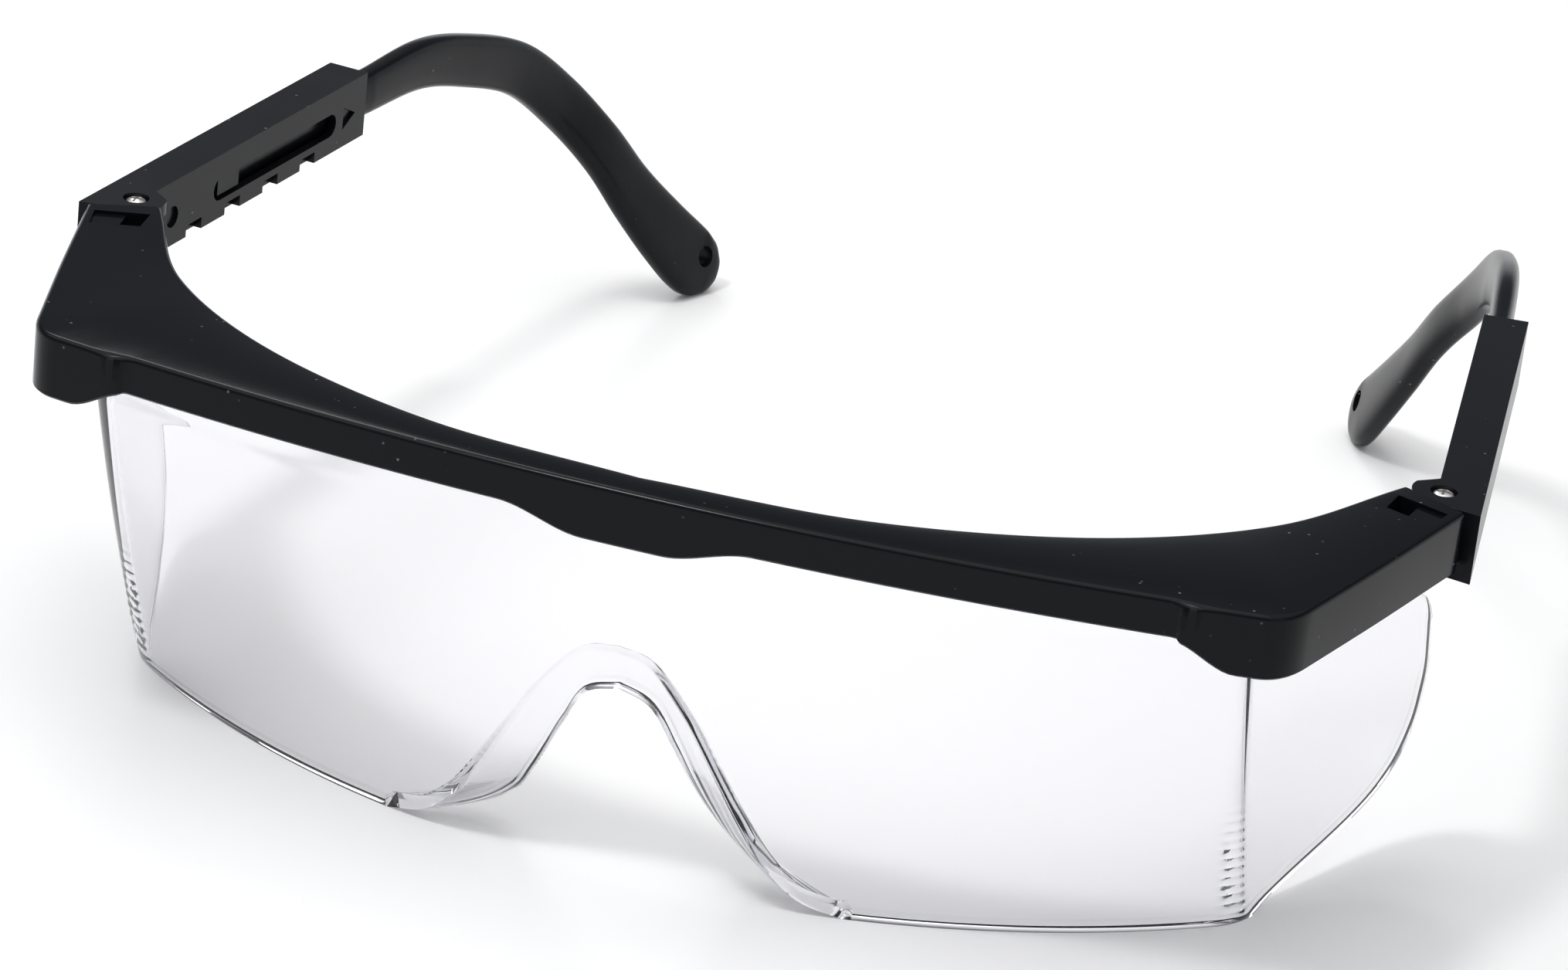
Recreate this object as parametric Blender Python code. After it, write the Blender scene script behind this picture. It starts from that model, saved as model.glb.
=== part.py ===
"""Clear safety glasses: a black brow frame, a one-piece wrap-around lens with side shields and a nose
flange, and two temples. Each temple folds on a vertical hinge screw, and its ear piece slides in a
channelled sleeve to set the length.

Frame: +Z up, the front faces -Y, the wearer's left is at +X, and Z = 0 is the surface that the lens and
the ear pieces stand on. Sizes below are millimetres with Y = 0 just ahead of the hinges. Every mesh is
written in metres, and main() then moves the whole so that its bounding box is centred on Y = 0.
"""

import math

import bmesh
import bpy
from mathutils import Matrix, Vector

MM = 0.001
GAP = 0.3

# Brow frame
TOP_Z = 43.5
FRONT_Y = -43.5
FRONT_RADIUS = 330.0
FRONT_HALF = 61.0
HOOD_START = 52.0
HOOD_PROUD = 0.7
CORNER = (64.3, -36.2)
SIDE_START = (65.2, -34.2)
SIDE_MIDDLE = (69.0, -20.5)
INNER_CURVE = ((0.0, -39.2), (22.0, -37.2), (42.0, -29.5), (57.0, -17.3), (66.2, -1.09))
INNER_AT_CORNER = 0.66
PLATE = 1.6
WALL = 1.3
WALL_Z = 39.5
DIP_Z = 37.6
DIP_FLAT = 4.0
DIP_END = 13.0
HOOD_Z = 36.9
HOOD_FULL = 59.0
CREASE = 0.5

# Hinges
HINGE = Vector((70.0, 1.0, 0.0))
CENTRE_Y = 35.28
END_X = 73.2
END_ANGLE = math.radians(25.0)
END_DISTANCE = 3.5
LUG_RADIUS = 2.9
LUG_Z = (38.2, 41.3)
BORE_RADIUS = 0.95
SCREW_RADIUS = 0.75
HEAD_RADIUS = 1.15
RECESS_RADIUS = 1.4
RECESS_DEPTH = 0.7

# Temple sleeves, in their own axes: X outward, Y to the rear, from the hinge
TOE_IN = math.radians(6.9)
SLEEVE_END = 49.0
SLEEVE_X = (-0.65, 4.1)
SLEEVE_Z = (35.6, 43.0)
EAR_RADIUS = 3.2
FORK_Z = (37.9, 41.6)
FORK_FRONT_X = 2.5
FORK_TURN = math.radians(-40.0)
CHANNEL_START = 8.0
CHANNEL_X = (0.3, 3.2)
CHANNEL_Z = (36.5, 42.1)
SLOT_Y = (15.5, 42.3)
SLOT_Z = (37.7, 40.3)
NOTCH_STARTS = (10.0, 18.2, 26.4, 34.6)
NOTCH_LENGTH = 3.2
NOTCH_DEPTH = 1.3

# Ear pieces: the bar slides in the channel, and the blade bends down behind the ear
BAR_START = 15.8
BAR_HEIGHT = 5.0
BAR_THICKNESS = 2.3
PEG_Y = (17.0, 21.5)
BLADE = (
    # x, y, z, height, thickness
    (64.9, 52.5, 39.5, 5.2, 2.5),
    (63.0, 64.5, 39.4, 5.8, 2.8),
    (61.0, 75.0, 37.0, 6.2, 3.0),
    (58.4, 85.5, 33.2, 6.4, 3.0),
    (55.2, 92.8, 27.4, 6.6, 3.0),
    (51.2, 97.6, 21.0, 6.8, 3.0),
    (48.0, 101.5, 14.6, 7.4, 3.0),
    (45.0, 105.6, 9.0, 8.4, 3.0),
    (42.6, 109.4, 4.7, 8.8, 3.0),
    (41.3, 111.7, 3.0, 7.0, 2.8),
    (40.7, 112.9, 2.3, 4.2, 2.4),
    (40.5, 113.3, 2.1, 2.0, 1.8),
)
LANYARD_HOLE = 1.3

# Lens
LENS_THICKNESS = 1.8
LENS_TOP = 41.4
LENS_HALF = 59.3
LENS_CENTRE_Y = -41.8
LENS_CENTRE_RAKE = 0.0024
LENS_EDGE_Y = -32.6
LENS_EDGE_SLOPE = 0.3485
LENS_EDGE_RAKE = 0.00276
BEND_RADIUS = 1.5
SHIELD_FLARE = 1.0 / 3.0
SHIELD_REAR = (
    # z, y of the rear edge
    (0.0, -14.6),
    (2.0, -10.9),
    (4.1, -3.8),
    (6.4, 2.8),
    (8.6, 5.4),
    (11.0, 7.0),
    (15.0, 7.7),
    (21.0, 6.7),
    (29.5, 3.2),
    (33.0, -0.6),
    (35.4, -9.6),
    (LENS_TOP, -9.6),
)
NOSE_ROOT = (
    # x, z where the flange leaves the lens
    (0.0, 25.7),
    (3.6, 24.8),
    (7.6, 20.0),
    (10.6, 14.8),
    (13.4, 9.6),
    (16.2, 4.9),
    (19.6, 1.5),
    (24.0, 0.0),
)
NOSE_EDGE = (
    # x, y, z of the flange's free edge, which runs out into the lens's lower edge
    (0.0, -39.2, 20.9),
    (3.3, -39.0, 19.6),
    (5.6, -37.8, 15.4),
    (7.4, -36.6, 11.6),
    (9.4, -34.6, 7.6),
    (11.8, -32.4, 3.8),
    (16.0, -32.2, 1.2),
)



def smooth_step(value, start, end):
    """0 before start, 1 after end, with level ends between."""
    part = min(max((value - start) / (end - start), 0.0), 1.0)
    return part * part * (3.0 - 2.0 * part)


def along(points, part):
    """The point at a fraction of the way along a smooth curve through all the points."""
    spans = len(points) - 1
    place = min(max(part, 0.0), 1.0) * spans
    index = min(int(place), spans - 1)
    t = place - index
    p1 = Vector(points[index])
    p2 = Vector(points[index + 1])
    p0 = Vector(points[index - 1]) if index else 2.0 * p1 - p2
    p3 = Vector(points[index + 2]) if index + 2 <= spans else 2.0 * p2 - p1
    return 0.5 * (2.0 * p1 + (p2 - p0) * t + (2.0 * p0 - 5.0 * p1 + 4.0 * p2 - p3) * t**2
                  + (3.0 * p1 - p0 - 3.0 * p2 + p3) * t**3)


def value_at(table, key):
    """Reads a table of (key, value) rows on straight lines between its rows."""
    for (k0, v0), (k1, v1) in zip(table, table[1:]):
        if key <= k1:
            return v0 + (v1 - v0) * max(key - k0, 0.0) / (k1 - k0)
    return table[-1][1]


def material(name, colour, roughness, metallic=0.0, transmission=0.0):
    made = bpy.data.materials.new(name)
    made.use_nodes = True
    shader = made.node_tree.nodes["Principled BSDF"]
    shader.inputs["Base Color"].default_value = (*colour, 1.0)
    shader.inputs["Roughness"].default_value = roughness
    shader.inputs["Metallic"].default_value = metallic
    shader.inputs["Transmission Weight"].default_value = transmission
    return made


def mesh_object(name, points, faces, parent=None, place=Matrix.Identity(4)):
    """An object whose mesh is given in millimetres, in the axes of its parent."""
    mesh = bpy.data.meshes.new(name)
    mesh.from_pydata([Vector(p) * MM for p in points], [], faces)
    cleaned = bmesh.new()
    cleaned.from_mesh(mesh)
    bmesh.ops.remove_doubles(cleaned, verts=cleaned.verts, dist=1e-7)
    bmesh.ops.recalc_face_normals(cleaned, faces=cleaned.faces)
    cleaned.to_mesh(mesh)
    cleaned.free()
    obj = bpy.data.objects.new(name, mesh)
    bpy.context.scene.collection.objects.link(obj)
    obj.parent = parent
    obj.matrix_basis = place
    return obj


def lofted(rings):
    """Points and faces of a closed skin through rings of equal length, with flat ends."""
    size = len(rings[0])
    points = [p for ring in rings for p in ring]
    faces = [tuple(range(size))[::-1], tuple(range(len(points) - size, len(points)))]
    for ring in range(len(rings) - 1):
        for i in range(size):
            a = ring * size + i
            b = ring * size + (i + 1) % size
            faces.append((a, b, b + size, a + size))
    return points, faces


def prism(outline, z_low, z_high):
    """Points and faces of a plan outline raised between two heights."""
    return lofted([[(x, y, z) for x, y in outline] for z in (z_low, z_high)])


def disc(centre, radius, steps=32, start=0.0, end=2.0 * math.pi):
    """Plan points on an arc, with both ends when it isn't a whole circle."""
    whole = end - start > 6.28
    count = steps if whole else steps + 1
    turns = [start + (end - start) * i / steps for i in range(count)]
    return [(centre[0] + radius * math.cos(a), centre[1] + radius * math.sin(a)) for a in turns]


def box(low, high):
    outline = [(low[0], low[1]), (high[0], low[1]), (high[0], high[1]), (low[0], high[1])]
    return prism(outline, low[2], high[2])


def cutter(name, shape, parent=None):
    made = mesh_object(name, *shape, parent=parent)
    made.hide_render = True
    made.display_type = "WIRE"
    return made


def boolean(obj, other, operation="DIFFERENCE"):
    other.hide_render = True
    other.display_type = "WIRE"
    made = obj.modifiers.new(other.name, "BOOLEAN")
    made.operation = operation
    made.object = other


def finish(obj, look, angle=35.0):
    obj.data.materials.append(look)
    obj.data.shade_smooth()
    obj.data.set_sharp_from_angle(angle=math.radians(angle))
    return obj


def empty(name, matrix, parent=None):
    made = bpy.data.objects.new(name, None)
    bpy.context.scene.collection.objects.link(made)
    made.parent = parent
    made.matrix_basis = matrix
    return made


# ---------------------------------------------------------------- brow frame


def end_normal():
    return Vector((math.sin(END_ANGLE), math.cos(END_ANGLE), 0.0))


def frame_end(x):
    """The y of the frame's slanted end face, beside the hinge."""
    normal = end_normal()
    foot = HINGE - END_DISTANCE * normal
    return foot.y - (x - foot.x) * normal.x / normal.y


def front_y(x):
    return FRONT_Y + FRONT_RADIUS - math.sqrt(FRONT_RADIUS**2 - x * x)


def wall_bottom(x):
    """Height of the front wall's lower edge: deeper over the nose and under each corner hood."""
    dip = (WALL_Z - DIP_Z) * (1.0 - smooth_step(x, DIP_FLAT, DIP_END))
    hood = (WALL_Z - HOOD_Z) * smooth_step(x, HOOD_START + 1.0, HOOD_FULL)
    return WALL_Z - dip - hood


def brow_stations():
    """Plan stations of the half at +X, centre to hinge: outer point, outward normal, inner part, bottom."""
    stations = []
    xs = [FRONT_HALF * i / 28 for i in range(29)]
    xs = [x for x in xs if abs(x - HOOD_START) > 0.6] + [HOOD_START, HOOD_START + 0.35]
    for x in sorted(xs):
        proud = HOOD_PROUD if x > HOOD_START else 0.0
        slope = Vector((x / FRONT_RADIUS, -1.0)).normalized()
        outer = Vector((x, front_y(x) - proud))
        stations.append((outer, slope, INNER_AT_CORNER * x / FRONT_HALF, wall_bottom(x)))
    side = (Vector(SIDE_MIDDLE) - Vector(CORNER)).normalized()
    side_normal = Vector((side.y, -side.x))
    start = stations[-1][0]
    pull = Vector((64.0, start.y + 0.3))
    for i in range(1, 7):
        t = i / 6.0
        point = (1 - t) ** 2 * start + 2 * t * (1 - t) * pull + t * t * Vector(SIDE_START)
        normal = slope.lerp(side_normal, t).normalized()
        stations.append((point, normal, INNER_AT_CORNER + 0.03 * t, HOOD_Z))
    curve = (SIDE_START, SIDE_MIDDLE, (72.0, -9.0), (END_X, frame_end(END_X)))
    for i in range(1, 11):
        t = i / 10.0
        point = along(curve, t)
        stations.append((point, side_normal, INNER_AT_CORNER + 0.03 + (0.97 - INNER_AT_CORNER) * t, HOOD_Z))
    return stations


def brow_ring(station, side):
    """One closed section of the frame: crease, top, inner edge, plate underside, wall."""
    outer, normal, part, bottom = station
    inner = along(INNER_CURVE, part)
    back = -normal
    inward = (outer - inner).normalized() * 0.4
    plan = [
        (outer, TOP_Z - CREASE),
        (outer + back * CREASE, TOP_Z),
        (inner + inward, TOP_Z),
        (inner, TOP_Z - 0.4),
        (inner, TOP_Z - PLATE),
        (outer + back * WALL, TOP_Z - PLATE),
        (outer + back * WALL, bottom),
        (outer, bottom),
    ]
    return [(side * p.x, p.y, z) for p, z in plan]


def build_brow_frame(look):
    half = brow_stations()
    rings = [brow_ring(s, -1.0) for s in reversed(half)] + [brow_ring(s, 1.0) for s in half[1:]]
    frame = mesh_object("brow_frame", *lofted(rings))
    for side, hand in ((-1.0, "right"), (1.0, "left")):
        add_hinge_end(frame, side, hand)
    return finish(frame, look)


def mirrored(shape, side):
    points, faces = shape
    return [(side * p[0], p[1], p[2]) for p in points], faces


def add_hinge_end(frame, side, hand):
    """The solid end of the frame with its hinge lug, its bore and the square hole for the lens tab."""
    normal = end_normal()
    across = Vector((normal.y, -normal.x, 0.0))
    centre = HINGE

    def at(t, n):
        point = centre + across * t + normal * n
        return (point.x, point.y)

    block = [(66.7, frame_end(66.7) - GAP), (65.2, -8.6), (71.2, -9.6), (72.7, frame_end(72.7) - GAP)]
    end_block = mirrored(prism(block, HOOD_Z + 0.2, TOP_Z - 1.0), side)
    boolean(frame, cutter(f"{hand}_end_block", end_block), "UNION")
    round_end = disc(centre, LUG_RADIUS, 20, -END_ANGLE, math.pi - END_ANGLE)
    root = -END_DISTANCE - 1.0
    lug = round_end + [at(-2.2, 0.0), at(-2.2, root), at(2.2, root), at(2.2, 0.0)]
    boolean(frame, cutter(f"{hand}_lug", mirrored(prism(lug, *LUG_Z), side)), "UNION")
    bore = prism(disc(centre, BORE_RADIUS, 20), LUG_Z[0] - 1.0, LUG_Z[1] + 1.0)
    boolean(frame, cutter(f"{hand}_lug_bore", mirrored(bore, side)))
    patch = [(66.4, -3.6), (71.8, -5.6), (70.9, -9.1), (66.0, -7.2)]
    boolean(frame, cutter(f"{hand}_patch", mirrored(prism(patch, TOP_Z - 0.35, TOP_Z + 1.0), side)))
    hole = [(66.4, -3.6), (68.7, -4.45), (68.2, -8.05), (66.0, -7.2)]
    boolean(frame, cutter(f"{hand}_tab_hole", mirrored(prism(hole, HOOD_Z - 1.0, TOP_Z + 1.0), side)))


# ---------------------------------------------------------------- lens


def lens_centre_y(z):
    return LENS_CENTRE_Y + LENS_CENTRE_RAKE * (38.0 - min(z, 38.0)) ** 2


def lens_edge_y(z):
    down = 36.0 - min(z, 36.0)
    return LENS_EDGE_Y + LENS_EDGE_SLOPE * down + LENS_EDGE_RAKE * down * down


def lens_front_y(x, z):
    """The front surface: in plan an arc through the centre and the two bends."""
    sag = lens_edge_y(z) - lens_centre_y(z)
    radius = (LENS_HALF**2 + sag * sag) / (2.0 * sag)
    return lens_centre_y(z) + radius - math.sqrt(radius * radius - x * x)


def lens_bottom(x):
    """Height of the front's lower edge: level, with the nose arch in the middle."""
    if x >= NOSE_ROOT[-1][0]:
        return 0.0
    return value_at([(p[0], p[1]) for p in NOSE_ROOT], x)


def lens_column(x, rows):
    low = lens_bottom(x)
    heights = [low + (LENS_TOP - low) * j / rows for j in range(rows + 1)]
    return [Vector((x, lens_front_y(x, z), z)) for z in heights]


def lens_bend(rows):
    """Columns round the bend and across the side shield."""
    columns = []
    heights = [LENS_TOP * j / rows for j in range(rows + 1)]
    for turn in (0.0, 0.5, 1.0):
        column = []
        for z in heights:
            corner = Vector((LENS_HALF, lens_edge_y(z), z))
            before = Vector((LENS_HALF - BEND_RADIUS, lens_front_y(LENS_HALF - BEND_RADIUS, z), z))
            after = corner + Vector((SHIELD_FLARE, 1.0, 0.0)) * BEND_RADIUS
            column.append((1 - turn) ** 2 * before + 2 * turn * (1 - turn) * corner + turn**2 * after)
        columns.append(column)
    for part in (0.2, 0.4, 0.6, 0.8, 1.0):
        column = []
        for low, z in zip(columns[2], heights):
            rear_y = value_at(SHIELD_REAR, z)
            y = low.y + (rear_y - low.y) * part
            column.append(Vector((LENS_HALF + (y - lens_edge_y(z)) * SHIELD_FLARE, y, z)))
        columns.append(column)
    return columns


def build_lens(look):
    rows = 14
    nose_steps = 14
    xs = []
    for i in range(nose_steps + 1):
        xs.append(along(NOSE_ROOT, i / nose_steps).x)
    start = NOSE_ROOT[-1][0]
    xs += [start + (LENS_HALF - BEND_RADIUS - start) * i / 9 for i in range(1, 9)]
    half = [lens_column(x, rows) for x in xs] + lens_bend(rows)
    columns = [[Vector((-p.x, p.y, p.z)) for p in c] for c in reversed(half[1:])] + half
    points = [p for column in columns for p in column]
    height = rows + 1
    faces = []
    for c in range(len(columns) - 1):
        for r in range(rows):
            a = c * height + r
            faces.append((a, a + height, a + height + 1, a + 1))
    middle = len(half) - 1
    flange_rows = 4
    rails = []
    for c in range(middle - nose_steps, middle + nose_steps + 1):
        side = -1.0 if c < middle else 1.0
        root = columns[c][0]
        tail = Vector((NOSE_ROOT[-1][0], lens_front_y(NOSE_ROOT[-1][0], 0.0), 0.0))
        edge = along((*NOSE_EDGE, tail), abs(c - middle) / nose_steps)
        edge.x *= side
        rail = [c * height]
        for r in range(1, flange_rows + 1):
            t = r / flange_rows
            rail.append(len(points))
            points.append(root.lerp(edge, t))
        rails.append(rail)
    for left, right in zip(rails, rails[1:]):
        for r in range(flange_rows):
            faces.append((left[r], left[r + 1], right[r + 1], right[r]))
    lens = mesh_object("lens", points, faces)
    bm = bmesh.new()
    bm.from_mesh(lens.data)
    if sum(f.normal.y * f.calc_area() for f in bm.faces) > 0:
        bmesh.ops.reverse_faces(bm, faces=bm.faces)
    bm.to_mesh(lens.data)
    bm.free()
    solid = lens.modifiers.new("thickness", "SOLIDIFY")
    solid.thickness = LENS_THICKNESS * MM
    solid.offset = -1.0
    solid.use_even_offset = True
    return finish(lens, look)


# ---------------------------------------------------------------- temples


def temple_matrix(side):
    """Axes of a temple: Y to the rear, Z up. X points outward on the +X side."""
    place = Vector((side * HINGE.x, HINGE.y, 0.0)) * MM
    return Matrix.Translation(place) @ Matrix.Rotation(side * TOE_IN, 4, "Z")


def sleeve_outline():
    """Plan of a sleeve: round the hinge on the inner side, square on the outer side."""
    slant = END_ANGLE - TOE_IN
    normal = Vector((math.sin(slant), math.cos(slant)))
    across = Vector((normal.y, -normal.x))
    foot = -EAR_RADIUS * normal
    reach = (SLEEVE_X[1] - foot.x) / across.x
    outer = foot + across * reach
    start = math.atan2(foot.y, foot.x)
    arc = disc((0.0, 0.0), EAR_RADIUS, 14, start - 1.75, start)
    return arc + [tuple(outer), (SLEEVE_X[1], SLEEVE_END), (SLEEVE_X[0], SLEEVE_END), (SLEEVE_X[0], 3.0)]


def build_sleeve(side, hand, look):
    pivot = empty(f"{hand}_hinge", temple_matrix(side))

    def local(shape):
        return mirrored(shape, side)

    sleeve = mesh_object(f"{hand}_sleeve", *local(prism(sleeve_outline(), *SLEEVE_Z)), parent=pivot)

    def cut(name, shape):
        boolean(sleeve, cutter(f"{hand}_{name}", local(shape), pivot))

    fork = [(-9.0, -9.0), (FORK_FRONT_X, -9.0)]
    fork += disc((0.0, 0.0), EAR_RADIUS + 0.1, 16, FORK_TURN, math.pi) + [(-9.0, 0.0)]
    cut("fork", prism(fork, *FORK_Z))
    far_corner = (CHANNEL_X[1], SLEEVE_END + 1, CHANNEL_Z[1])
    cut("channel", box((CHANNEL_X[0], CHANNEL_START, CHANNEL_Z[0]), far_corner))
    radius = (SLOT_Z[1] - SLOT_Z[0]) / 2
    cut("slot", slot_shape(SLOT_Y[0] + radius, SLOT_Y[1] - radius, (SLOT_Z[0] + SLOT_Z[1]) / 2, radius))
    for i, start in enumerate(NOTCH_STARTS):
        low = (SLEEVE_X[0] - 1.0, start, SLEEVE_Z[0] - 1.0)
        high = (CHANNEL_X[0] - 0.05, start + NOTCH_LENGTH, SLEEVE_Z[0] + NOTCH_DEPTH)
        cut(f"notch_{i + 1}", box(low, high))
    cut("pin_bore", prism(disc((0.0, 0.0), BORE_RADIUS, 20), SLEEVE_Z[0] - 1, SLEEVE_Z[1] + 1))
    recess = disc((0.0, 0.0), RECESS_RADIUS, 20)
    cut("head_recess", prism(recess, SLEEVE_Z[1] - RECESS_DEPTH, SLEEVE_Z[1] + 1))
    finish(sleeve, look)
    return pivot


def slot_shape(y_low, y_high, z, radius):
    """A round-ended slot through the sleeve's inner wall."""
    ring = [(y_high + radius * math.cos(a), z + radius * math.sin(a)) for a in
            [math.pi * (i / 8 - 0.5) for i in range(9)]]
    ring += [(y_low - radius * math.cos(a), z - radius * math.sin(a)) for a in
             [math.pi * (i / 8 - 0.5) for i in range(9)]]
    return lofted([[(x, y, h) for y, h in ring] for x in (SLEEVE_X[0] - 1.0, CHANNEL_X[0] + 0.2)])


def rounded_section(height, thickness, count=12):
    """A section of the ear piece: across its thickness and its height, with full round edges."""
    points = []
    for i in range(count):
        a = 2.0 * math.pi * (i + 0.5) / count
        c, s = math.cos(a), math.sin(a)
        across = 0.5 * thickness * math.copysign(abs(c) ** 0.55, c)
        upward = 0.5 * height * math.copysign(abs(s) ** 0.8, s)
        points.append((across, upward))
    return points


def ear_rings():
    """Rings of the ear piece on the +X side, in world millimetres, from bar to tip."""
    turn = Matrix.Rotation(TOE_IN, 3, "Z")
    bar_x = (CHANNEL_X[0] + CHANNEL_X[1]) / 2
    bar_z = (CHANNEL_Z[0] + CHANNEL_Z[1]) / 2
    rings = []
    for y in (BAR_START, SLEEVE_END - 1.0):
        ring = []
        for x, z in rounded_section(BAR_HEIGHT, BAR_THICKNESS):
            ring.append(HINGE + turn @ Vector((bar_x + x, y, 0.0)) + Vector((0.0, 0.0, bar_z + z)))
        rings.append(ring)
    steps = 34
    for i in range(steps + 1):
        here = along(BLADE, i / steps)
        ahead = along(BLADE, min(i / steps + 0.01, 1.0))
        behind = along(BLADE, max(i / steps - 0.01, 0.0))
        tangent = Vector((ahead - behind)[:3]).normalized()
        side = turn @ Vector((1.0, 0.0, 0.0))
        side = (side - tangent * side.dot(tangent)).normalized()
        up = side.cross(tangent)
        centre = Vector(here[:3])
        rings.append([centre + side * x + up * z for x, z in rounded_section(here[3], here[4])])
    return rings


def build_ear_piece(side, hand, pivot, look):
    start = Matrix.Translation(Vector((0.0, BAR_START, 0.0)) * MM)
    slide = empty(f"{hand}_slide", start, pivot)
    inverse = (temple_matrix(side) @ start).inverted()
    rings = []
    for ring in ear_rings():
        rings.append([(inverse @ (Vector((side * p.x, p.y, p.z)) * MM)) / MM for p in ring])
    ear = mesh_object(f"{hand}_ear_piece", *lofted(rings), parent=slide)
    peg = box((-0.25, PEG_Y[0] - BAR_START, SLOT_Z[0] + GAP), (1.2, PEG_Y[1] - BAR_START, SLOT_Z[1] - GAP))
    boolean(ear, cutter(f"{hand}_peg", mirrored(peg, side), slide), "UNION")
    hole_at = along(BLADE, 0.76)
    ahead = along(BLADE, 0.77)
    tangent = Vector((ahead - hole_at)[:3]).normalized()
    out = Matrix.Rotation(TOE_IN, 3, "Z") @ Vector((1.0, 0.0, 0.0))
    out = (out - tangent * out.dot(tangent)).normalized()
    up = out.cross(tangent)
    centre = Vector(hole_at[:3]) + up * 1.0
    rings = []
    for reach in (-4.0, 4.0):
        ring = []
        for i in range(20):
            a = 2.0 * math.pi * i / 20
            p = centre + out * reach + LANYARD_HOLE * (tangent * math.cos(a) + up * math.sin(a))
            ring.append((inverse @ (Vector((side * p.x, p.y, p.z)) * MM)) / MM)
        rings.append(ring)
    boolean(ear, cutter(f"{hand}_lanyard_hole", lofted(rings), slide))
    return finish(ear, look)


def build_screw(side, hand, look):
    """A domed cross-head screw, turned about the hinge axis."""
    top = SLEEVE_Z[1]
    seat = top - RECESS_DEPTH + 0.15
    profile = [(SCREW_RADIUS, SLEEVE_Z[0] + 0.2), (SCREW_RADIUS, seat)]
    profile += [(HEAD_RADIUS * math.cos(a), seat + 0.1 + 0.45 * math.sin(a)) for a in
                [math.pi / 2 * i / 5 for i in range(5)]]
    rings = [[(x, y, z) for x, y in disc((0.0, 0.0), radius, 24)] for radius, z in profile]
    place = Matrix.Translation(Vector((side * HINGE.x, HINGE.y, 0.0)) * MM)
    screw = mesh_object(f"{hand}_hinge_screw", *lofted(rings), place=place)
    for i in range(2):
        half = (0.75, 0.14) if i else (0.14, 0.75)
        groove = box((-half[0], -half[1], seat + 0.25), (half[0], half[1], top + 1.0))
        arm = cutter(f"{hand}_cross_{i + 1}", groove)
        arm.matrix_basis = place
        boolean(screw, arm)
    return finish(screw, look)


def main():
    for obj in list(bpy.data.objects):
        bpy.data.objects.remove(obj, do_unlink=True)
    black = material("frame_black", (0.012, 0.013, 0.015), 0.18)
    satin = material("temple_black", (0.014, 0.015, 0.017), 0.3)
    clear = material("lens_clear", (0.93, 0.94, 0.96), 0.02, transmission=1.0)
    steel = material("screw_steel", (0.72, 0.70, 0.68), 0.22, metallic=1.0)
    build_brow_frame(black)
    build_lens(clear)
    for side, hand in ((-1.0, "right"), (1.0, "left")):
        pivot = build_sleeve(side, hand, satin)
        build_ear_piece(side, hand, pivot, satin)
        build_screw(side, hand, steel)
    for obj in bpy.data.objects:
        if obj.parent is None:
            obj.matrix_basis = Matrix.Translation((0.0, -CENTRE_Y * MM, 0.0)) @ obj.matrix_basis


main()
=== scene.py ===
"""Looks for the safety glasses: studio, camera, every piece's material, and finer meshes for the frame, lens,
ear pieces and sleeves.
"""

import math

import bmesh
import bpy
from mathutils import Matrix, Vector


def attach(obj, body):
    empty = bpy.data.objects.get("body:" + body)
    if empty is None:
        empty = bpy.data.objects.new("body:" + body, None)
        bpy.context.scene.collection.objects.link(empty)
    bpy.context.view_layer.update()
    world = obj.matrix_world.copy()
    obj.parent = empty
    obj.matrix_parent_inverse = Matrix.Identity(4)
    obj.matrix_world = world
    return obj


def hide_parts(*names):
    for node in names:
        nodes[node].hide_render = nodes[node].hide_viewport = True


MM = 0.001

# Camera
LENS_MM = 141.9
SENSOR_MM = 36.0
CAMERA_Y_SHIFT = 0.03528
CAMERA_PLACE = Vector((0.158427, -0.554884 - CAMERA_Y_SHIFT, 0.2812))
CAMERA_RIGHT = (0.944408, 0.31175, 0.104433)
CAMERA_UP = (-0.21747, 0.354101, 0.909571)

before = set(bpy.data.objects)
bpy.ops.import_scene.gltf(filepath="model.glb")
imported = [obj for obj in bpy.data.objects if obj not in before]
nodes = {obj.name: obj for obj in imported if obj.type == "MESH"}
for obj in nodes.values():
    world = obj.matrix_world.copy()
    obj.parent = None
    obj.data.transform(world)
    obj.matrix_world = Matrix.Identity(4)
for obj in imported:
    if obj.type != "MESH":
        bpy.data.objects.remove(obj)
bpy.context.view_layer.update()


def node_tree(name):
    material = bpy.data.materials.new(name)
    material.use_nodes = True
    tree = material.node_tree
    return material, tree, tree.nodes["Principled BSDF"]


def add_node(tree, kind, **inputs):
    node = tree.nodes.new(kind)
    for socket, value in inputs.items():
        node.inputs[socket.replace("_", " ")].default_value = value
    return node


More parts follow.
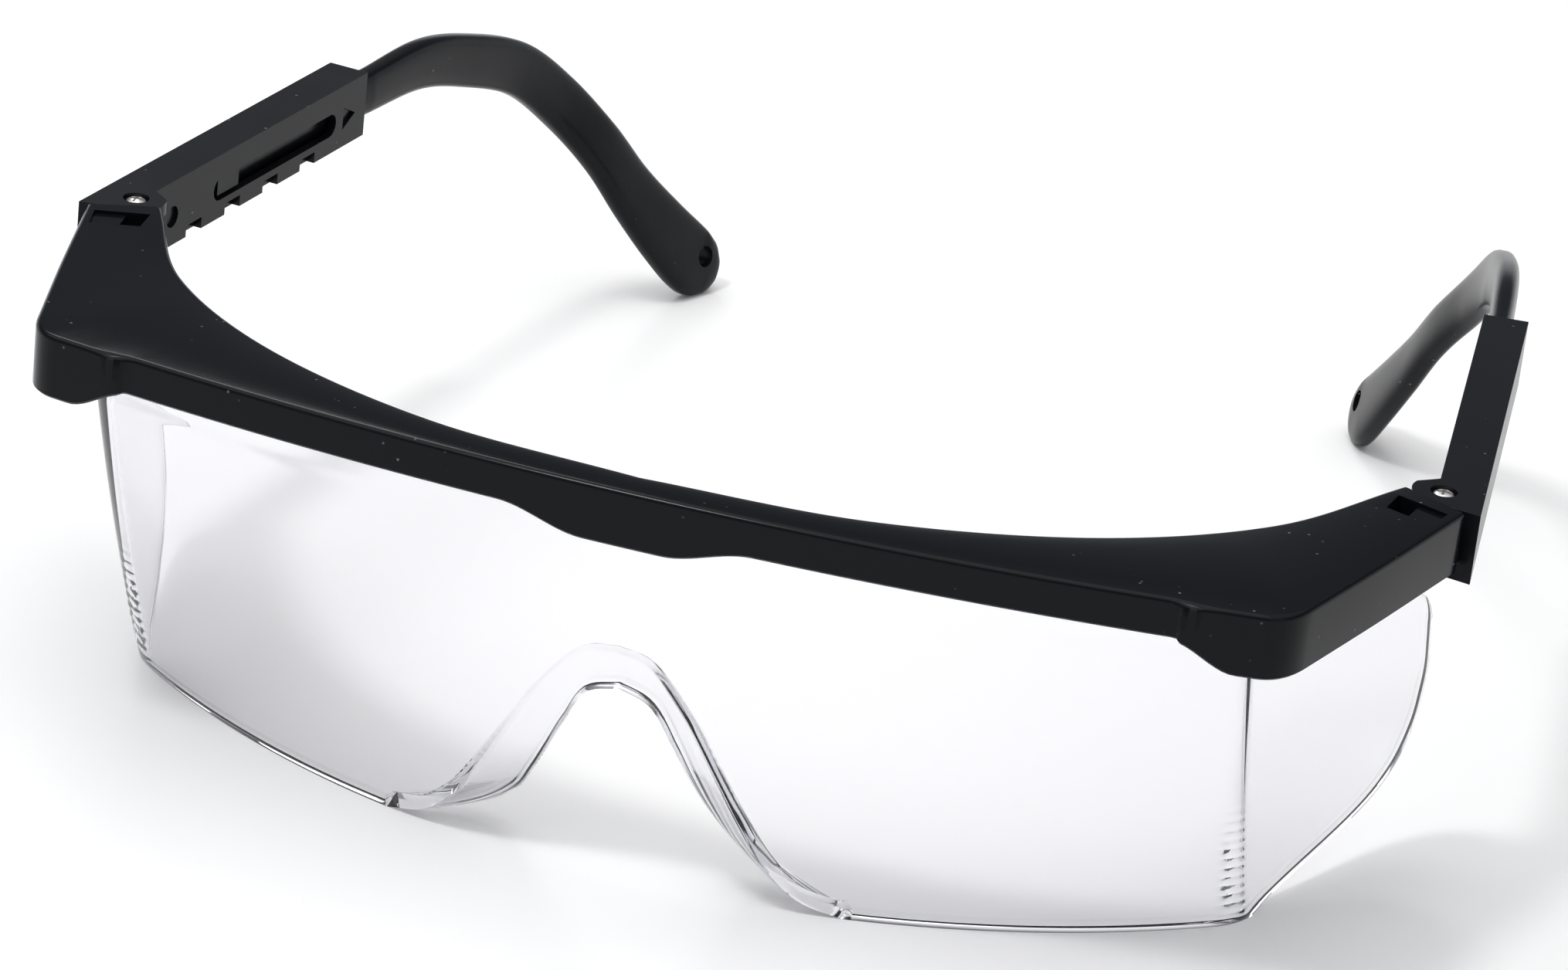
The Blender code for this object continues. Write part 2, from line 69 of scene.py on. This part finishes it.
def black_plastic(name, colour, rough, wave, grain):
    """Moulded black plastic: a faint flow in the gloss, a soft orange-peel bump, and a few dust specks."""
    material, tree, shader = node_tree(name)
    shader.inputs["IOR"].default_value = 1.5
    shader.inputs["Specular IOR Level"].default_value = 0.12
    place = tree.nodes.new("ShaderNodeTexCoord")
    flow = add_node(tree, "ShaderNodeTexNoise", Scale=60.0, Detail=3.0)
    tree.links.new(place.outputs["Object"], flow.inputs["Vector"])
    spread = add_node(tree, "ShaderNodeMapRange", To_Min=rough * 0.85, To_Max=rough * 1.2)
    tree.links.new(flow.outputs["Fac"], spread.inputs["Value"])
    tree.links.new(spread.outputs["Result"], shader.inputs["Roughness"])
    dust = add_node(tree, "ShaderNodeTexVoronoi", Scale=620.0)
    tree.links.new(place.outputs["Object"], dust.inputs["Vector"])
    specks = tree.nodes.new("ShaderNodeValToRGB")
    specks.color_ramp.elements[0].position = 0.05
    specks.color_ramp.elements[0].color = (0.13, 0.14, 0.17, 1.0)
    specks.color_ramp.elements[1].position = 0.11
    specks.color_ramp.elements[1].color = (*colour, 1.0)
    tree.links.new(dust.outputs["Distance"], specks.inputs["Fac"])
    patches = add_node(tree, "ShaderNodeTexNoise", Scale=150.0, Detail=2.0)
    tree.links.new(place.outputs["Object"], patches.inputs["Vector"])
    some = add_node(tree, "ShaderNodeMapRange", From_Min=0.5, From_Max=0.6)
    tree.links.new(patches.outputs["Fac"], some.inputs["Value"])
    mixed = tree.nodes.new("ShaderNodeMix")
    mixed.data_type = "RGBA"
    clean, dusty, blended = mixed.inputs[6], mixed.inputs[7], mixed.outputs[2]
    clean.default_value = (*colour, 1.0)
    tree.links.new(some.outputs["Result"], mixed.inputs[0])
    tree.links.new(specks.outputs["Color"], dusty)
    tree.links.new(blended, shader.inputs["Base Color"])
    fine = add_node(tree, "ShaderNodeTexNoise", Scale=wave, Detail=2.0)
    tree.links.new(place.outputs["Object"], fine.inputs["Vector"])
    bump = add_node(tree, "ShaderNodeBump", Strength=grain, Distance=0.0002)
    tree.links.new(fine.outputs["Fac"], bump.inputs["Height"])
    tree.links.new(bump.outputs["Normal"], shader.inputs["Normal"])
    return material


def steel():
    material, tree, shader = node_tree("screw_steel")
    shader.inputs["Base Color"].default_value = (0.78, 0.76, 0.73, 1.0)
    shader.inputs["Metallic"].default_value = 1.0
    place = tree.nodes.new("ShaderNodeTexCoord")
    noise = add_node(tree, "ShaderNodeTexNoise", Scale=900.0, Detail=3.0)
    tree.links.new(place.outputs["Object"], noise.inputs["Vector"])
    spread = add_node(tree, "ShaderNodeMapRange", To_Min=0.14, To_Max=0.3)
    tree.links.new(noise.outputs["Fac"], spread.inputs["Value"])
    tree.links.new(spread.outputs["Result"], shader.inputs["Roughness"])
    return material


def clear_plastic():
    """Polished clear plastic with a faint ripple."""
    material, tree, shader = node_tree("lens_clear")
    shader.inputs["Base Color"].default_value = (0.985, 0.985, 0.99, 1.0)
    depth = add_node(tree, "ShaderNodeVolumeAbsorption", Color=(0.62, 0.61, 0.7, 1.0), Density=85.0)
    tree.links.new(depth.outputs["Volume"], tree.nodes["Material Output"].inputs["Volume"])
    shader.inputs["Roughness"].default_value = 0.01
    shader.inputs["IOR"].default_value = 1.5
    shader.inputs["Transmission Weight"].default_value = 1.0
    place = tree.nodes.new("ShaderNodeTexCoord")
    ripple = add_node(tree, "ShaderNodeTexNoise", Scale=90.0, Detail=1.0)
    tree.links.new(place.outputs["Object"], ripple.inputs["Vector"])
    bump = add_node(tree, "ShaderNodeBump", Strength=0.04, Distance=0.0002)
    tree.links.new(ripple.outputs["Fac"], bump.inputs["Height"])
    tree.links.new(bump.outputs["Normal"], shader.inputs["Normal"])
    return material


def assign(name, material):
    mesh = nodes[name].data
    mesh.materials.clear()
    mesh.materials.append(material)


CENTRE_Y = 35.28
TOP_Z = 43.5
HINGE = Vector((70.0, 1.0, 0.0))
TOE_IN = math.radians(6.9)
END_ANGLE = math.radians(25.0)
END_DISTANCE = 3.5


def smooth_step(value, start, end):
    part = min(max((value - start) / (end - start), 0.0), 1.0)
    return part * part * (3.0 - 2.0 * part)


def along(points, part):
    """The point at a fraction of the way along a smooth curve through all the points."""
    spans = len(points) - 1
    place = min(max(part, 0.0), 1.0) * spans
    index = min(int(place), spans - 1)
    t = place - index
    p1 = Vector(points[index])
    p2 = Vector(points[index + 1])
    p0 = Vector(points[index - 1]) if index else 2.0 * p1 - p2
    p3 = Vector(points[index + 2]) if index + 2 <= spans else 2.0 * p2 - p1
    return 0.5 * (2.0 * p1 + (p2 - p0) * t + (2.0 * p0 - 5.0 * p1 + 4.0 * p2 - p3) * t**2
                  + (3.0 * p1 - p0 - 3.0 * p2 + p3) * t**3)


def table(rows, key):
    """The value at a key, on straight lines between the rows."""
    for (k0, v0), (k1, v1) in zip(rows, rows[1:]):
        if key <= k1:
            return v0 + (v1 - v0) * max(key - k0, 0.0) / (k1 - k0)
    return rows[-1][1]


def smooth_table(rows, key, reach=1.6):
    """The table's value averaged over a short reach, which rounds its corners."""
    steps = [reach * (i / 4.0 - 1.0) for i in range(9)]
    return sum(table(rows, key + step) for step in steps) / len(steps)


def piece_from(name, points, faces, body, node, material):
    """A shown piece in world place, given in millimetres, that stands for a CAD node."""
    mesh = bpy.data.meshes.new(name)
    mesh.from_pydata([(p[0] * MM, (p[1] - CENTRE_Y) * MM, p[2] * MM) for p in points], [], faces)
    work = bmesh.new()
    work.from_mesh(mesh)
    bmesh.ops.remove_doubles(work, verts=work.verts, dist=1e-7)
    bmesh.ops.recalc_face_normals(work, faces=work.faces)
    work.to_mesh(mesh)
    work.free()
    piece = bpy.data.objects.new(name, mesh)
    bpy.context.scene.collection.objects.link(piece)
    if material:
        mesh.materials.append(material)
    if body:
        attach(piece, body)
        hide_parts(node)
    return piece


def lofted(rings):
    """Points and faces of a closed skin over rings of the same size."""
    size = len(rings[0])
    points = [p for ring in rings for p in ring]
    faces = [tuple(range(size))[::-1], tuple(range(len(points) - size, len(points)))]
    for ring in range(len(rings) - 1):
        for i in range(size):
            a = ring * size + i
            b = ring * size + (i + 1) % size
            faces.append((a, b, b + size, a + size))
    return points, faces


def prism(outline, low, high):
    return lofted([[(x, y, z) for x, y in outline] for z in (low, high)])


def disc(centre, radius, steps=48, start=0.0, end=2.0 * math.pi):
    count = steps if end - start > 6.28 else steps + 1
    turns = [start + (end - start) * i / steps for i in range(count)]
    return [(centre[0] + radius * math.cos(a), centre[1] + radius * math.sin(a)) for a in turns]


def mirrored(shape, side):
    points, faces = shape
    return [(side * p[0], p[1], p[2]) for p in points], faces


def combine(piece, shape, operation):
    """Joins a shape to a piece or cuts it out, and leaves a plain mesh."""
    tool = piece_from("tool", *shape, None, None, None)
    made = piece.modifiers.new("tool", "BOOLEAN")
    made.operation = operation
    made.object = tool
    made.solver = "EXACT"
    settle(piece)
    bpy.data.objects.remove(tool, do_unlink=True)


def settle(piece):
    """Applies every modifier."""
    graph = bpy.context.evaluated_depsgraph_get()
    result = bpy.data.meshes.new_from_object(piece.evaluated_get(graph))
    piece.modifiers.clear()
    piece.data = result


def soften(piece, width, angle=38.0, segments=3):
    """Rounds the sharp edges and shades the rest smoothly."""
    edges = piece.modifiers.new("edges", "BEVEL")
    edges.width = width * MM
    edges.segments = segments
    edges.limit_method = "ANGLE"
    edges.angle_limit = math.radians(angle)
    edges.use_clamp_overlap = True
    settle(piece)
    piece.data.shade_smooth()
    piece.data.set_sharp_from_angle(angle=math.radians(48.0))


# ---------------------------------------------------------------- brow frame

FRONT_Y = -43.5
FRONT_RADIUS = 330.0
FRONT_HALF = 61.0
HOOD_PROUD = 0.7
SIDE_START = (65.2, -34.2)
SIDE_MIDDLE = (69.0, -20.5)
END_X = 73.2
INNER_CURVE = ((0.0, -39.2), (22.0, -37.2), (42.0, -29.5), (57.0, -17.3), (66.2, -1.09))
INNER_AT_CORNER = 0.66
PLATE = 1.6
WALL = 1.3
WALL_Z = 39.5
HOOD_Z = 36.9


def frame_end(x):
    """How far back the frame reaches at x, in front of its hinge."""
    normal = (math.sin(END_ANGLE), math.cos(END_ANGLE))
    foot = (HINGE.x - END_DISTANCE * normal[0], HINGE.y - END_DISTANCE * normal[1])
    return foot[1] - (x - foot[0]) * normal[0] / normal[1]


def wall_bottom(x):
    """The front wall's lower edge: a dip over the nose and a hood over each corner."""
    dip = 1.9 * (1.0 - smooth_step(x, 4.0, 13.0))
    hood = (WALL_Z - HOOD_Z) * smooth_step(x, 53.0, 59.5)
    return WALL_Z - dip - hood


def brow_stations():
    """Plan stations of one half, centre to hinge: outer point, normal, inner part, bottom, front x."""
    stations = []
    xs = sorted([FRONT_HALF * i / 90 for i in range(91)] + [51.9 + 0.1 * i for i in range(40)])
    for x in xs:
        y = FRONT_Y + FRONT_RADIUS - math.sqrt(FRONT_RADIUS**2 - x * x)
        slope = Vector((x / FRONT_RADIUS, -1.0)).normalized()
        inner_part = INNER_AT_CORNER * x / FRONT_HALF
        stations.append((Vector((x, y)), slope, inner_part, wall_bottom(x), x))
    side = (Vector(SIDE_MIDDLE) - Vector((64.3, -36.2))).normalized()
    side_normal = Vector((side.y, -side.x))
    start = stations[-1][0] + Vector((0.0, -HOOD_PROUD))
    pull = Vector((64.0, start.y + 0.3))
    for i in range(1, 25):
        t = i / 24.0
        point = (1 - t) ** 2 * start + 2 * t * (1 - t) * pull + t * t * Vector(SIDE_START)
        normal = slope.lerp(side_normal, t).normalized()
        stations.append((point, normal, INNER_AT_CORNER + 0.03 * t, HOOD_Z, None))
    curve = (SIDE_START, SIDE_MIDDLE, (72.0, -9.0), (END_X, frame_end(END_X)))
    for i in range(1, 41):
        t = i / 40.0
        stations.append((along(curve, t), side_normal, 0.69 + 0.31 * t, HOOD_Z, None))
    return stations


def corner(start_dir, end_dir, centre, radius, steps=4):
    """Section points round one edge, from one direction to the other, as (inward, down) offsets."""
    turns = [start_dir + (end_dir - start_dir) * i / steps for i in range(steps + 1)]
    return [(centre[0] + radius * math.cos(a), centre[1] + radius * math.sin(a)) for a in turns]


def brow_ring(station, side):
    """The frame's section at one station, round edges included."""
    outer, normal, part, bottom, x = station
    inner = along(INNER_CURVE, part)
    across = inner - outer
    width = across.length
    across = across.normalized()
    back = -normal
    quarter = math.pi / 2
    ring = []

    def place(plan, z):
        if x is not None:
            step_end = 52.35 + 5.0 * smooth_step(z, 42.2, TOP_Z)
            proud = HOOD_PROUD * smooth_step(x - 0.42 * (TOP_Z - z), 52.0, step_end)
            plan = plan + normal * proud * (1.0 if (plan - outer).length < 0.9 * WALL else 0.0)
        ring.append((side * plan.x, plan.y, z))

    for inward, down in corner(-math.pi, -quarter, (0.55, 0.55), 0.55, 5):
        place(outer + back * inward, TOP_Z - 0.55 - (down - 0.55))
    for inward, down in corner(quarter, 0.0, (width - 0.5, 0.0), 0.5, 4):
        place(outer + across * inward, TOP_Z - 0.5 + down)
    place(inner, TOP_Z - PLATE)
    place(outer + back * WALL, TOP_Z - PLATE)
    place(outer + back * WALL, bottom + 0.25)
    place(outer + back * (WALL - 0.25), bottom)
    place(outer + back * 0.25, bottom)
    place(outer, bottom + 0.25)
    return ring


def build_frame(material):
    half = brow_stations()
    rings = [brow_ring(s, -1.0) for s in reversed(half)] + [brow_ring(s, 1.0) for s in half[1:]]
    frame_piece = piece_from("frame_moulding", *lofted(rings), "frame", "brow_frame", material)
    normal = Vector((math.sin(END_ANGLE), math.cos(END_ANGLE)))
    beside = Vector((normal.y, -normal.x))

    def at(t, n):
        point = Vector((HINGE.x, HINGE.y)) + beside * t + normal * n
        return (point.x, point.y)

    for side in (-1.0, 1.0):
        block = [(66.7, frame_end(66.7) - 0.3), (65.2, -8.6), (71.2, -9.6), (72.7, frame_end(72.7) - 0.3)]
        combine(frame_piece, mirrored(prism(block, HOOD_Z + 0.2, TOP_Z - 1.0), side), "UNION")
        lug = disc((HINGE.x, HINGE.y), 2.9, 32, -END_ANGLE, math.pi - END_ANGLE)
        lug += [at(-2.2, 0.0), at(-2.2, -4.5), at(2.2, -4.5), at(2.2, 0.0)]
        combine(frame_piece, mirrored(prism(lug, 38.2, 41.3), side), "UNION")
        bore = prism(disc((HINGE.x, HINGE.y), 0.95, 24), 37.0, 42.5)
        combine(frame_piece, mirrored(bore, side), "DIFFERENCE")
        patch = [(66.4, -3.6), (71.8, -5.6), (70.9, -9.1), (66.0, -7.2)]
        combine(frame_piece, mirrored(prism(patch, TOP_Z - 0.35, TOP_Z + 1.0), side), "DIFFERENCE")
        hole = [(66.4, -3.6), (68.7, -4.45), (68.2, -8.05), (66.0, -7.2)]
        combine(frame_piece, mirrored(prism(hole, HOOD_Z - 1.0, TOP_Z + 1.0), side), "DIFFERENCE")
    frame_piece.data.shade_smooth()
    frame_piece.data.set_sharp_from_angle(angle=math.radians(38.0))
    return frame_piece


# ---------------------------------------------------------------- lens

LENS_TOP = 41.4
LENS_HALF = 59.3
LENS_THICKNESS = 1.8
BEND = 2.1
RIDGE_DIRECTION = Vector((-0.5, 0.85, 0.0))
RIDGE_TOP = 18.0
RIDGE_PITCH = 1.3
RIDGE_HEIGHT = 0.16
FLARE = 1.0 / 3.0
SHIELD_REAR = ((0.0, -14.6), (2.0, -10.9), (4.1, -3.8), (6.4, 2.8), (8.6, 5.4), (11.0, 7.0), (15.0, 7.7),
               (21.0, 6.7), (29.5, 3.2), (33.0, -0.6), (35.4, -9.6), (41.4, -9.6))
NOSE_ROOT = ((0.0, 25.7), (3.6, 24.8), (7.6, 20.0), (10.6, 14.8), (13.4, 9.6), (16.2, 4.9), (19.6, 1.5),
             (24.0, 0.0))
NOSE_EDGE = ((0.0, -39.2, 20.9), (3.3, -39.0, 19.6), (5.6, -37.8, 15.4), (7.4, -36.6, 11.6),
             (9.4, -34.6, 7.6), (11.8, -32.4, 3.8), (16.0, -32.2, 1.2))


def lens_edge_y(z):
    down = 36.0 - min(z, 36.0)
    return -32.6 + 0.3485 * down + 0.00276 * down * down


def lens_front(x, z):
    """A point on the lens's front, which is an arc across at each height."""
    centre = -41.8 + 0.0024 * (38.0 - min(z, 38.0)) ** 2
    sag = lens_edge_y(z) - centre
    radius = (LENS_HALF**2 + sag * sag) / (2.0 * sag)
    return Vector((x, centre + radius - math.sqrt(radius * radius - x * x), z))


def build_lens(material):
    """Front, ridged bends, side shields and the rolled flange over the nose, as one thick sheet."""
    rows = 88
    nose_steps = 40
    start = NOSE_ROOT[-1][0]
    columns = []
    for i in range(nose_steps + 1):
        root = along(NOSE_ROOT, i / nose_steps)
        low = 0.0 if i == nose_steps else max(root.y, 0.0)
        columns.append([lens_front(root.x, low + (LENS_TOP - low) * j / rows) for j in range(rows + 1)])
    for i in range(1, 37):
        x = start + (LENS_HALF - BEND - start) * i / 37
        columns.append([lens_front(x, LENS_TOP * j / rows) for j in range(rows + 1)])
    heights = [LENS_TOP * j / rows for j in range(rows + 1)]
    for turn in [i / 12.0 for i in range(13)]:
        column = []
        for z in heights:
            middle = Vector((LENS_HALF, lens_edge_y(z), z))
            before = lens_front(LENS_HALF - BEND, z)
            after = middle + Vector((FLARE, 1.0, 0.0)) * BEND
            fade = smooth_step(z, 0.6, 2.0) * (1.0 - smooth_step(z, 8.0, RIDGE_TOP))
            swell = RIDGE_HEIGHT * fade * math.sin(math.pi * turn) ** 3
            ridge = RIDGE_DIRECTION * swell * math.sin(2.0 * math.pi * z / RIDGE_PITCH)
            column.append((1 - turn) ** 2 * before + 2 * turn * (1 - turn) * middle + turn**2 * after + ridge)
        columns.append(column)
    bend_end = columns[-1]
    for i in range(1, 31):
        column = []
        for z, first in zip(heights, bend_end):
            y = first.y + (smooth_table(SHIELD_REAR, z) - first.y) * i / 30
            column.append(Vector((LENS_HALF + (y - lens_edge_y(z)) * FLARE, y, z)))
        columns.append(column)
    both = [[Vector((-p.x, p.y, p.z)) for p in c] for c in reversed(columns[1:])] + columns
    points = [p for column in both for p in column]
    height = rows + 1
    faces = []
    for c in range(len(both) - 1):
        for r in range(rows):
            a = c * height + r
            faces.append((a, a + height, a + height + 1, a + 1))
    middle = len(columns) - 1
    flange = 14
    rails = []
    tail = lens_front(start, 0.0)
    for c in range(middle - nose_steps, middle + nose_steps + 1):
        root = both[c][0]
        edge = along((*NOSE_EDGE, tail), abs(c - middle) / nose_steps)
        edge.x *= -1.0 if c < middle else 1.0
        fold = root.lerp(edge, 0.5)
        fold.y = root.y + 0.36 * (edge.y - root.y)
        rail = [c * height]
        for r in range(1, flange + 1):
            t = r / flange
            rail.append(len(points))
            points.append((1 - t) ** 2 * root + 2 * t * (1 - t) * fold + t * t * edge)
        rails.append(rail)
    for left, right in zip(rails, rails[1:]):
        for r in range(flange):
            faces.append((left[r], left[r + 1], right[r + 1], right[r]))
    lens = piece_from("lens_moulding", points, faces, "frame", "lens", material)
    work = bmesh.new()
    work.from_mesh(lens.data)
    if sum(f.normal.y * f.calc_area() for f in work.faces) > 0:
        bmesh.ops.reverse_faces(work, faces=work.faces)
    work.to_mesh(lens.data)
    work.free()
    solid = lens.modifiers.new("thickness", "SOLIDIFY")
    solid.thickness = LENS_THICKNESS * MM
    solid.offset = -1.0
    solid.use_even_offset = True
    settle(lens)
    soften(lens, 0.3, 55.0, 2)
    return lens


# ---------------------------------------------------------------- temples

BAR_START = 15.8
PEG_X = (-0.25, 1.2)
PEG_Y = (17.0, 21.5)
PEG_Z = (38.0, 40.0)
HOLE_PART = 0.76
HOLE_RADIUS = 1.3
SLEEVE_END = 49.0
BLADE = (
    (64.9, 52.5, 39.5, 5.2, 2.5),
    (63.0, 64.5, 39.4, 5.8, 2.8),
    (61.0, 75.0, 37.0, 6.2, 3.0),
    (58.4, 85.5, 33.2, 6.4, 3.0),
    (55.2, 92.8, 27.4, 6.6, 3.0),
    (51.2, 97.6, 21.0, 6.8, 3.0),
    (48.0, 101.5, 14.6, 7.4, 3.0),
    (45.0, 105.6, 9.0, 8.4, 3.0),
    (42.6, 109.4, 4.7, 8.8, 3.0),
    (41.3, 111.7, 3.0, 7.0, 2.8),
    (40.7, 112.9, 2.3, 4.2, 2.4),
    (40.5, 113.3, 2.1, 2.0, 1.8),
)


def section(height, thickness, count=28):
    """A full, round-edged section of an ear piece."""
    made = []
    for i in range(count):
        a = 2.0 * math.pi * (i + 0.5) / count
        c, s = math.cos(a), math.sin(a)
        made.append((0.5 * thickness * math.copysign(abs(c) ** 0.6, c),
                     0.5 * height * math.copysign(abs(s) ** 0.8, s)))
    return made


def build_ear_piece(side, hand, material):
    """The sliding bar, its curved blade with a lanyard hole, and its peg."""
    turn = Matrix.Rotation(TOE_IN, 3, "Z")
    outward = turn @ Vector((1.0, 0.0, 0.0))
    rings = []
    for y in [BAR_START + (SLEEVE_END - 1.0 - BAR_START) * i / 6 for i in range(7)]:
        rings.append([HINGE + turn @ Vector((1.75 + x, y, 0.0)) + Vector((0.0, 0.0, 39.3 + z))
                      for x, z in section(5.0, 2.3)])
    steps = 150
    for i in range(steps + 1):
        here = along(BLADE, i / steps)
        ahead = along(BLADE, min(i / steps + 0.01, 1.0))
        behind = along(BLADE, max(i / steps - 0.01, 0.0))
        tangent = Vector((ahead - behind)[:3])
        tangent.normalize()
        out = (outward - tangent * outward.dot(tangent)).normalized()
        up = out.cross(tangent)
        rings.append([Vector(here[:3]) + out * x + up * z for x, z in section(here[3], here[4])])
    rings = [[(side * p.x, p.y, max(p.z, 0.0)) for p in ring] for ring in rings]
    node = f"{hand}_ear_piece"
    piece = piece_from(f"{hand}_ear_moulding", *lofted(rings), node, node, material)
    at = along(BLADE, HOLE_PART)
    tangent = Vector((along(BLADE, HOLE_PART + 0.01) - at)[:3]).normalized()
    out = (outward - tangent * outward.dot(tangent)).normalized()
    up = out.cross(tangent)
    middle = Vector(at[:3]) + up * 1.0
    hole = []
    for reach in (-4.0, 4.0):
        ring = []
        for i in range(32):
            a = 2.0 * math.pi * i / 32
            p = middle + out * reach + HOLE_RADIUS * (tangent * math.cos(a) + up * math.sin(a))
            ring.append((side * p.x, p.y, p.z))
        hole.append(ring)
    combine(piece, lofted(hole), "DIFFERENCE")
    peg = []
    for x in PEG_X:
        ring = []
        for y, z in ((PEG_Y[0], PEG_Z[0]), (PEG_Y[1], PEG_Z[0]), (PEG_Y[1], PEG_Z[1]), (PEG_Y[0], PEG_Z[1])):
            p = HINGE + turn @ Vector((x, y, 0.0))
            ring.append((side * p.x, p.y, z))
        peg.append(ring)
    combine(piece, lofted(peg), "UNION")
    piece.data.shade_smooth()
    piece.data.set_sharp_from_angle(angle=math.radians(50.0))
    return piece


def build_sleeve(side, hand, material):
    """The CAD sleeve with softened moulded edges and two shallow recesses in its inner side."""
    source = nodes[f"{hand}_sleeve"]
    piece = bpy.data.objects.new(f"{hand}_sleeve_moulding", source.data.copy())
    bpy.context.scene.collection.objects.link(piece)
    piece.matrix_world = source.matrix_world
    work = bmesh.new()
    work.from_mesh(piece.data)
    bmesh.ops.remove_doubles(work, verts=work.verts, dist=1e-6)
    bmesh.ops.dissolve_limit(work, angle_limit=math.radians(2.0), verts=work.verts, edges=work.edges)
    work.to_mesh(piece.data)
    work.free()
    for outline in (((43.9, 37.7), (46.6, 39.0), (43.9, 40.3)),
                    [(6.8 + 1.2 * math.cos(a), 38.9 + 1.2 * math.sin(a)) for a in
                     [2.0 * math.pi * i / 16 for i in range(16)]]):
        rings = []
        for x in (-1.4, -0.25):
            ring = []
            for y, z in outline:
                p = HINGE + Matrix.Rotation(TOE_IN, 3, "Z") @ Vector((x, y, 0.0))
                ring.append((side * p.x, p.y, z))
            rings.append(ring)
        combine(piece, lofted(rings), "DIFFERENCE")
    soften(piece, 0.22, 40.0, 3)
    weighted = piece.modifiers.new("weighted", "WEIGHTED_NORMAL")
    weighted.weight = 100
    weighted.keep_sharp = True
    settle(piece)
    piece.data.materials.clear()
    piece.data.materials.append(material)
    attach(piece, f"{hand}_sleeve")
    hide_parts(f"{hand}_sleeve")


def studio():
    """White floor, a sky that is grey where the black plastic mirrors it, and four soft lights."""
    bpy.context.scene.view_settings.view_transform = "Standard"
    world = bpy.data.worlds.new("studio")
    bpy.context.scene.world = world
    world.use_nodes = True
    tree = world.node_tree
    background = tree.nodes["Background"]
    background.inputs["Strength"].default_value = 1.0
    place = tree.nodes.new("ShaderNodeTexCoord")
    split = tree.nodes.new("ShaderNodeSeparateXYZ")
    sky = tree.nodes.new("ShaderNodeValToRGB")
    stops = sky.color_ramp.elements
    stops[0].position = 0.14
    stops[0].color = (0.85, 0.87, 0.92, 1.0)
    stops[1].position = 0.92
    stops[1].color = (1.0, 1.0, 1.0, 1.0)
    for position in (0.26, 0.5):
        stops.new(position).color = (0.15, 0.155, 0.17, 1.0)
    tree.links.new(place.outputs["Generated"], split.inputs["Vector"])
    tree.links.new(split.outputs["Z"], sky.inputs["Fac"])
    tree.links.new(sky.outputs["Color"], background.inputs["Color"])
    floor_mesh = bpy.data.meshes.new("floor")
    reach = 3.0
    floor_mesh.from_pydata([(-reach, -reach, 0), (reach, -reach, 0), (reach, reach, 0), (-reach, reach, 0)],
                           [], [(0, 1, 2, 3)])
    floor = bpy.data.objects.new("floor", floor_mesh)
    bpy.context.scene.collection.objects.link(floor)
    material, _, shader = node_tree("floor_pale")
    shader.inputs["Base Color"].default_value = (0.93, 0.93, 0.93, 1.0)
    shader.inputs["Roughness"].default_value = 0.9
    shader.inputs["Emission Color"].default_value = (1.0, 1.0, 1.0, 1.0)
    shader.inputs["Emission Strength"].default_value = 0.05
    floor_mesh.materials.append(material)
    for name, place, power, size in (
        ("key", (-0.3, -0.2, 1.1), 5.0, 1.3),
        ("back", (-0.5, 0.8, 0.85), 1.6, 0.3),
        ("fill", (0.8, -0.6, 0.6), 0.6, 0.8),
        ("edge", (-0.27, -0.42, 0.95), 2.6, 0.14),
    ):
        data = bpy.data.lights.new(name, "AREA")
        data.energy = power
        data.size = size
        light = bpy.data.objects.new(name, data)
        bpy.context.scene.collection.objects.link(light)
        light.location = place
        aim = Vector((0.0, 0.0, 0.02)) - light.location
        light.rotation_euler = aim.to_track_quat("-Z", "Y").to_euler()


def camera():
    data = bpy.data.cameras.new("view")
    data.lens = LENS_MM
    data.sensor_width = SENSOR_MM
    data.clip_start = 0.01
    view = bpy.data.objects.new("view", data)
    bpy.context.scene.collection.objects.link(view)
    right = Vector(CAMERA_RIGHT)
    up = Vector(CAMERA_UP)
    away = right.cross(up)
    turn = Matrix((right, up, away)).transposed()
    view.matrix_world = Matrix.Translation(CAMERA_PLACE) @ turn.to_4x4()
    bpy.context.scene.camera = view


def main():
    black = black_plastic("frame_gloss_black", (0.0042, 0.0048, 0.006), 0.12, 420.0, 0.03)
    satin = black_plastic("temple_satin_black", (0.0055, 0.006, 0.0075), 0.22, 520.0, 0.05)
    metal = steel()
    clear = clear_plastic()
    for name in ("left_hinge_screw", "right_hinge_screw"):
        assign(name, metal)
    build_frame(black)
    build_lens(clear)
    for side, hand in ((-1.0, "right"), (1.0, "left")):
        build_ear_piece(side, hand, satin)
        build_sleeve(side, hand, satin)
    studio()
    camera()


main()
